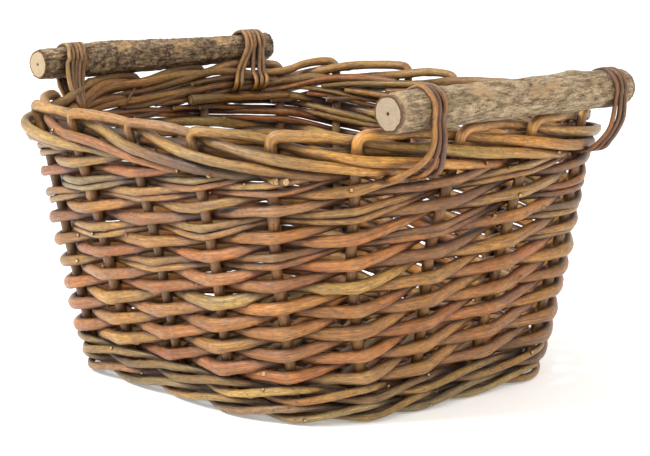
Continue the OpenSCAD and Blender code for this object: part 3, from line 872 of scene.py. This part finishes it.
def log_bark(name, c_light, c_mid, c_dark, c_bare, bare_share, mottle, grain, rough=(0.7, 0.95)):
    """Bark of a branch: fibres along it, mottling, worn patches down to paler wood, dark cracks and knots."""
    m, nt, bs = new_mat(name)
    uv = attr(nt, "ruv").outputs["Vector"]
    mark = attr(nt, "mark").outputs["Fac"]
    bare = attr(nt, "tint").outputs["Color"]
    crevice_shade = attr(nt, "crevice_shade").outputs["Fac"]
    sep = nt.nodes.new("ShaderNodeSeparateColor")
    link(nt, bare, sep.inputs[0])
    big = noise_tex(nt, mapped(nt, uv, (50, 95, 95)), 1.0, 5, 0.65)
    mid = noise_tex(nt, mapped(nt, uv, mottle), 1.0, 5, 0.72)
    fine = noise_tex(nt, mapped(nt, uv, grain), 1.0, 5, 0.7)
    speck = noise_tex(nt, mapped(nt, uv, (900, 1200, 1200)), 1.0, 3, 0.6)
    line = noise_tex(nt, mapped(nt, uv, (70, 360, 360)), 1.0, 3, 0.55)
    line = math_node(nt, "ABSOLUTE", math_node(nt, "SUBTRACT", line, 0.5), 0.0)
    crack = ramp(nt, line, [(0.006, 1.0), (0.022, 0.0)])
    crack = math_node(nt, "MULTIPLY", crack, ramp(nt, mid, [(0.44, 1.0), (0.60, 0.0)]))
    col = ramp(nt, mid, [(0.34, tuple(lin(c_dark))), (0.48, tuple(lin(c_mid))), (0.66, tuple(lin(c_light)))])
    col = mix(nt, col, ramp(nt, big, [(0.32, 0.60), (0.5, 1.0), (0.70, 1.30)]), 0.8, "MULTIPLY")
    col = mix(nt, col, ramp(nt, fine, [(0.34, 0.42), (0.5, 1.0), (0.68, 1.25)]), 0.7, "MULTIPLY")
    col = mix(nt, col, ramp(nt, speck, [(0.36, 0.45), (0.5, 1.0), (0.66, 1.2)]), 0.55, "MULTIPLY")
    lichen = ramp(nt, speck, [(0.60, 0.0), (0.68, 1.0)])
    col = mix(nt, col, tuple(lin((176, 166, 146))), math_node(nt, "MULTIPLY", lichen, 0.55))
    col = mix(nt, col, tuple(lin((58, 42, 30))), math_node(nt, "MULTIPLY", crack, 0.92))
    wood = mix(nt, tuple(lin(c_bare)), ramp(nt, fine, [(0.32, 0.6), (0.68, 1.2)]), 0.8, "MULTIPLY")
    worn = math_node(nt, "ADD", math_node(nt, "MULTIPLY", big, 0.6), math_node(nt, "MULTIPLY", mid, 0.4))
    worn = math_node(nt, "MULTIPLY", ramp(nt, worn, [(0.60 - 0.12 * bare_share, 0.0), (0.66 - 0.12 * bare_share, 1.0)]), 0.85)
    col = mix(nt, col, wood, worn)
    part = math_node(nt, "MULTIPLY", sep.outputs[0], math_node(nt, "MULTIPLY", mid, 1.7), True)
    col = mix(nt, col, wood, part)
    mk = math_node(nt, "MULTIPLY", mark, math_node(nt, "ADD", 0.25, math_node(nt, "MULTIPLY", fine, 1.0)), True)
    col = mix(nt, col, tuple(lin((52, 36, 24))), mk)
    # painted shade: darker where the lashings and rods crowd close round the log
    col = mix(nt, col, (0.30, 0.20, 0.12), math_node(nt, "MULTIPLY", crevice_shade, 0.7), "MULTIPLY")
    link(nt, col, bs.inputs["Base Color"])
    ro = nt.nodes.new("ShaderNodeMapRange")
    ro.inputs[3].default_value, ro.inputs[4].default_value = rough
    link(nt, mid, ro.inputs[0])
    link(nt, ro.outputs[0], bs.inputs["Roughness"])
    bs.inputs["Specular IOR Level"].default_value = 0.3
    h = math_node(nt, "ADD", math_node(nt, "MULTIPLY", mid, 1.0), math_node(nt, "ADD", math_node(nt, "MULTIPLY", fine, 0.6), math_node(nt, "MULTIPLY", mk, -0.8)))
    bump(nt, bs, h, 0.9, 0.0010)
    return m


def log_cut(name, light, dark, edge):
    """A sawn end: rings round a dark pith, saw marks and a brown bark edge. tint.r holds the radius from 0 to 1."""
    m, nt, bs = new_mat(name)
    uv = attr(nt, "ruv").outputs["Vector"]
    mark = attr(nt, "mark").outputs["Fac"]
    ln = nt.nodes.new("ShaderNodeVectorMath")
    ln.operation = "LENGTH"
    warp = nt.nodes.new("ShaderNodeVectorMath")
    warp.operation = "MULTIPLY"
    link(nt, uv, warp.inputs[0])
    warp.inputs[1].default_value = (0, 1, 1)
    link(nt, warp.outputs[0], ln.inputs[0])
    n1 = noise_tex(nt, mapped(nt, uv, (0, 260, 260)), 1.0, 4, 0.6)
    n2 = noise_tex(nt, mapped(nt, uv, (0, 2600, 420)), 1.0, 3, 0.6)
    rad = math_node(nt, "ADD", math_node(nt, "MULTIPLY", ln.outputs["Value"], 1000.0), math_node(nt, "MULTIPLY", n1, 1.2))
    rings = math_node(nt, "SINE", math_node(nt, "MULTIPLY", rad, 3.1))
    rings = math_node(nt, "ADD", math_node(nt, "MULTIPLY", rings, 0.5), 0.5)
    col = mix(nt, tuple(lin(light)), tuple(lin(dark)), math_node(nt, "MULTIPLY", rings, 0.25))
    col = mix(nt, col, tuple(lin(dark)), math_node(nt, "MULTIPLY", ramp(nt, n1, [(0.42, 0.0), (0.7, 1.0)]), 0.6))
    col = mix(nt, col, ramp(nt, n2, [(0.35, 0.82), (0.6, 1.04)]), 0.6, "MULTIPLY")
    col = mix(nt, col, tuple(lin(edge)), ramp(nt, mark, [(0.35, 0.0), (0.8, 1.0)]))
    link(nt, col, bs.inputs["Base Color"])
    bs.inputs["Roughness"].default_value = 0.82
    bs.inputs["Specular IOR Level"].default_value = 0.25
    bump(nt, bs, math_node(nt, "ADD", n2, math_node(nt, "MULTIPLY", rings, 0.3)), 0.45, 0.0004)
    return m


M_LOGR = log_bark("pale_log_bark", (184, 165, 134), (160, 140, 110), (124, 102, 75), (178, 150, 114), 0.2, (90, 260, 260), (240, 1000, 1000))
M_LOGL = log_bark("dark_log_bark", (182, 160, 130), (132, 109, 84), (64, 49, 37), (178, 146, 104), 0.42, (240, 260, 260), (900, 1100, 1100))
M_CUTR = log_cut("pale_log_cut", (154, 139, 117), (138, 119, 95), (84, 56, 34))
M_CUTL = log_cut("dark_log_cut", (168, 150, 121), (154, 132, 101), (96, 66, 42))

bark_log("Handle_log_right", "handle_log_right", "log_bark_pale", 159.3, -94.9, 110.9, 186.9,
         [-95, -88, -75, -60, -45, -25, 0, 25, 45, 62, 75, 90, 100, 108, 111], [11.0, 11.5, 11.8, 12.1, 11.9, 11.5, 11.5, 11.6, 12.0, 12.5, 11.8, 11.5, 12.1, 11.4, 10.6],
         3, 0.6, (0.0, 0.5, 0.3, 0.25), [M_LOGR, M_CUTR],
         [(-66, 1.9, 3.2, 0.7), (-18, 2.5, 3.2, 0.8), (22, 0.2, 2.6, 0.5), (64, 1.7, 3.6, 0.8), (-48, -0.6, 2.6, 0.5), (103, 0.9, 4.0, 0.9)],
         [(-95, -91, 0.0, 40), (-36, -20, 0.9, 5), (12, 40, 0.5, 4)])
bark_log("Handle_log_left", "handle_log_left", "log_bark_dark", -159.3, -101.6, 100.6, 188.4,
         [-102, -92, -82, -72, -62, -45, -20, 0, 30, 55, 72, 86, 95, 101], [9.7, 10.3, 10.0, 10.7, 11.9, 11.8, 11.3, 10.8, 10.1, 9.6, 9.7, 10.4, 10.2, 9.4],
         7, 1.7, (0.0, 0.2, -0.3, 0.2), [M_LOGL, M_CUTL],
         [(-30, 0.6, 3.4, 1.0), (14, 2.2, 3.4, 1.0), (58, 0.2, 2.8, 0.8), (-52, 0.4, 3.0, 0.8), (-8, 0.3, 2.6, 0.8)],
         [(-40, -24, 0.9, 3), (8, 26, 0.8, 4), (48, 64, 1.1, 4)])

# ------------------------------------------------------------------ lashings
def wall_x(y, z):
    a, b, r = dims(z)
    return chord(a / 2, b / 2, r, y)


def strand(sh, s, lz, lr, ys, r, seed, tints, xo=None, over=None, proud=0.0):
    """One closed turn of willow: over the log, down both sides of the rim and through the wall below the border.
    ys gives its place along the log at the top, then at five heights on the outer side, then on the inner side.
    xo gives the outer side's distances where the rim curves away. over is the height where the inner side turns under the top rods."""
    lx = 159.2
    ra = lr + r * 0.82
    top, out, inn = ys
    pts, nrm = [], []

    def put(x, y, z, nx, nz):
        pts.append([s * x, y, z]); nrm.append((s * nx, 0, nz))

    for a in (90, 65, 40, 20, 0, -18):
        f = (90 - a) / 108.0
        y = top + (out[0] - top) * f
        put(lx + ra * math.cos(math.radians(a)), y, lz + ra * math.sin(math.radians(a)), math.cos(math.radians(a)), math.sin(math.radians(a)))
    w = SIDE + 3.5 + r * 0.8
    X = xo or [max(wall_x(out[1], 170) + w - 1.5, lx + ra - 5), wall_x(out[2], 164) + w + 0.2, wall_x(out[3], 157) + w, wall_x(out[4], 152) + w - 2.6]
    put(X[0], out[1], 171, 1, 0)
    put(X[1], out[2], 163, 1, 0)
    put(X[2], out[3], 156.5, 1, -0.2)
    put(X[3], out[4], 151.2, 0.6, -0.8)
    if over is None:
        xm = out[4] * 0.75 + inn[4] * 0.25
        put(wall_x(xm, 149) + 4.5, xm, 148.3, 0, -1)
        xm = out[4] * 0.3 + inn[4] * 0.7
        put(wall_x(xm, 149) - 3.5, xm, 148.3, 0, -1)
        put(wall_x(inn[4], 152) - w + 2.2, inn[4], 152, -0.6, -0.8)
        put(wall_x(inn[3], 158) - w + 0.4, inn[3], 158, -1, -0.2)
        put(wall_x(inn[2], 165) - w + 0.6, inn[2], 165, -1, 0)
    else:
        xm = out[4] * 0.6 + inn[3] * 0.4
        put(wall_x(xm, 151) + 4.5, xm, 150.5, 0, -1)
        put(wall_x(inn[4], 155) - 2.0, inn[4], over - 8.5, 0, -1)
        put(wall_x(inn[3], 160) - w + 3.4 - proud, inn[3], over - 3.4, -0.6, -0.8)
        put(wall_x(inn[2], 165) - w + 1.4 - proud, inn[2], over + 1.8, -1, -0.1)
    low = lx - ra if over is None else min(wall_x(inn[2], 165) - w + 3.0 - proud, lx - ra + 1)
    put(0.45 * low + 0.55 * (lx - ra) if over else min(wall_x(inn[1], 172) - w + 2.0, lx - ra + 3), inn[1], 174.5, -1, 0)
    for a in (184, 165, 145, 120):
        f = (a - 90) / 108.0
        y = top + (inn[0] - top) * f
        put(lx + ra * math.cos(math.radians(a)), y, lz + ra * math.sin(math.radians(a)), math.cos(math.radians(a)), math.sin(math.radians(a)))
    rng = np.random.default_rng(seed)
    P = np.array(pts)
    P[:, 1] += rng.normal(size=len(P)) * 0.25
    rod(sh, P + SHIFT, nrm, [r] * len(P), seed, tints + tints[:1], sides=12, step=1.4, wobble=0, lumps=1.0, squash=0.84, closed=True)


def lashing(name, node, s, lz, lr, rows, seed, xo=None, over=None, proud=0.0):
    sh = Shell()
    for i, (ys, r, tints) in enumerate(rows):
        strand(sh, s, lz, lr, ys, r, seed + i, tints, xo=[q + k * i for q, k in zip(xo, (0.3, 0.6, 1.0, 2.0))] if xo else None, over=over, proud=proud)
    return sh.make(name, [M_LASH, M_CUT], "lashing_willow", [node])


lashing("Lashing_right_near", "lashing_right_near", 1, 186.9, 11.4, [
    ((-69.6, (-71.0, -71.6, -73.4, -79.0, -88), (-70, -70, -70, -71, -74)), 1.95, [HONEY, GOLD, ORANGE]),
    ((-65.0, (-67.4, -67.6, -67.4, -67.4, -69.5), (-66, -66, -66, -67, -68)), 1.6, [BROWN, ORANGE, BROWN]),
    ((-61.0, (-63.4, -63.6, -63.2, -61.8, -61.5), (-62, -62, -62, -62, -62)), 1.85, [HONEY, BROWN, ORANGE]),
], 1200, xo=[172.6, 170.6, 167.2, 161.8])
lashing("Lashing_right_far", "lashing_right_far", 1, 186.7, 10.7, [
    ((92.4, (91.6, 89.4, 87.8, 84.6, 81.5), (92.6, 90, 86, 83, 80)), 1.6, [BROWN, ORANGE, BROWN]),
    ((96.4, (95.8, 93.8, 92.0, 88.4, 84.5), (96.4, 93, 89, 86, 83)), 1.65, [HONEY, BROWN, ORANGE]),
    ((100.6, (100.2, 98.2, 96.2, 92.0, 87.5), (100.2, 97, 92, 88, 85)), 1.55, [ORANGE, BROWN, HONEY]),
], 1210, xo=[171.0, 168.8, 165.6, 160.5])
lashing("Lashing_left_near", "lashing_left_near", -1, 188.4, 10.6, [
    ((-79.0, (-79, -78, -78, -77, -77), (-86.8, -87.4, -86.2, -84.4, -83)), 1.55, [STRAW, GOLD, HONEY]),
    ((-76.2, (-76, -76, -76, -75, -75), (-83.4, -84.8, -84.6, -83.7, -83)), 1.5, [HONEY, STRAW, GOLD]),
    ((-73.2, (-73, -73, -73, -73, -73), (-80.2, -82.2, -83.0, -82.9, -82)), 1.45, [GOLD, HONEY, TAN]),
    ((-70.2, (-70, -71, -71, -71, -72), (-77.0, -79.6, -81.4, -82.1, -81)), 1.5, [STRAW, HONEY, GOLD]),
    ((-67.2, (-67, -68, -69, -69, -70), (-73.8, -77.0, -79.8, -81.3, -80)), 1.5, [GOLD, STRAW, HONEY]),
], 1220, over=161.5)
lashing("Lashing_left_far", "lashing_left_far", -1, 188.4, 10.4, [
    ((77.5, (77, 76, 75, 74, 74), (70.5, 62.0, 57.0, 56.0, 56)), 1.75, [GOLD, STRAW, GOLD]),
    ((80.8, (79, 78, 77, 76, 75), (74.2, 66.0, 61.0, 60, 61)), 1.7, [HONEY, GOLD, STRAW]),
    ((84.6, (82, 80, 79, 78, 77), (77.6, 74.6, 72.4, 72, 72)), 1.7, [GOLD, STRAW, HONEY]),
    ((88.0, (85, 83, 81, 80, 79), (83.0, 79.6, 76.4, 75.4, 75)), 1.7, [STRAW, GOLD, GOLD]),
    ((91.4, (88, 86, 84, 82, 80), (86.6, 84.2, 80.4, 78.8, 78)), 1.6, [HONEY, STRAW, GOLD]),
], 1230, over=165.5, proud=3.2)

build_all()

# ------------------------------------------------------------------ studio
floor_me = bpy.data.meshes.new("studio_floor")
S = 6.0
floor_me.from_pydata([(-S, -S, -0.0010), (S, -S, -0.0010), (S, S, -0.0010), (-S, S, -0.0010)], [], [(0, 1, 2, 3)])
floor = bpy.data.objects.new("studio_floor", floor_me)
bpy.context.scene.collection.objects.link(floor)
fm, nt, bs = new_mat("floor_white")
bs.inputs["Base Color"].default_value = (0.85, 0.85, 0.85, 1)
bs.inputs["Roughness"].default_value = 0.95
bs.inputs["Emission Color"].default_value = (1.0, 1.0, 1.0, 1)
bs.inputs["Emission Strength"].default_value = 0.3
floor_me.materials.append(fm)

w = bpy.data.worlds.new("studio")
bpy.context.scene.world = w
w.use_nodes = True
w.node_tree.nodes["Background"].inputs[0].default_value = (1.0, 1.0, 1.0, 1)
w.node_tree.nodes["Background"].inputs[1].default_value = 0.95

az, pitch, roll = math.radians(46.3), math.radians(10.7), math.radians(0.5)
CAM = np.array([926.6, -875.5, 329.4]) + SHIFT


def area(name, loc, target, size, power, color=(1, 1, 1)):
    d = bpy.data.lights.new(name, "AREA")
    d.shape = "RECTANGLE"
    d.size, d.size_y = size
    d.energy = power
    d.color = color
    o = bpy.data.objects.new(name, d)
    o.location = loc
    o.rotation_euler = (Vector(target) - Vector(loc)).to_track_quat("-Z", "Y").to_euler()
    bpy.context.scene.collection.objects.link(o)
    return o


area("key", (-0.55, -1.5, 1.5), (0, 0, 0.08), (0.6, 0.6), 47)
area("fill", (1.6, -0.3, 1.3), (0, 0, 0.1), (0.9, 0.9), 12, (1.0, 0.86, 0.66))

cd = bpy.data.cameras.new("camera")
cd.sensor_width = 36.0
cd.lens = 2000.0 / 650.0 * 36.0
cd.clip_end = 20
cam = bpy.data.objects.new("camera", cd)
Fv = np.array([-math.sin(az) * math.cos(pitch), math.cos(az) * math.cos(pitch), -math.sin(pitch)])
Rv = np.cross(Fv, [0, 0, 1.0]); Rv /= np.linalg.norm(Rv)
Uv = np.cross(Rv, Fv)
R2 = Rv * math.cos(roll) + Uv * math.sin(roll)
U2 = -Rv * math.sin(roll) + Uv * math.cos(roll)
mat = Matrix(((R2[0], U2[0], -Fv[0], CAM[0] * MM), (R2[1], U2[1], -Fv[1], CAM[1] * MM), (R2[2], U2[2], -Fv[2], CAM[2] * MM), (0, 0, 0, 1)))
cam.matrix_world = mat
bpy.context.scene.collection.objects.link(cam)
bpy.context.scene.camera = cam
bpy.context.scene.view_settings.view_transform = "Standard"
bpy.context.scene.view_settings.look = "None"
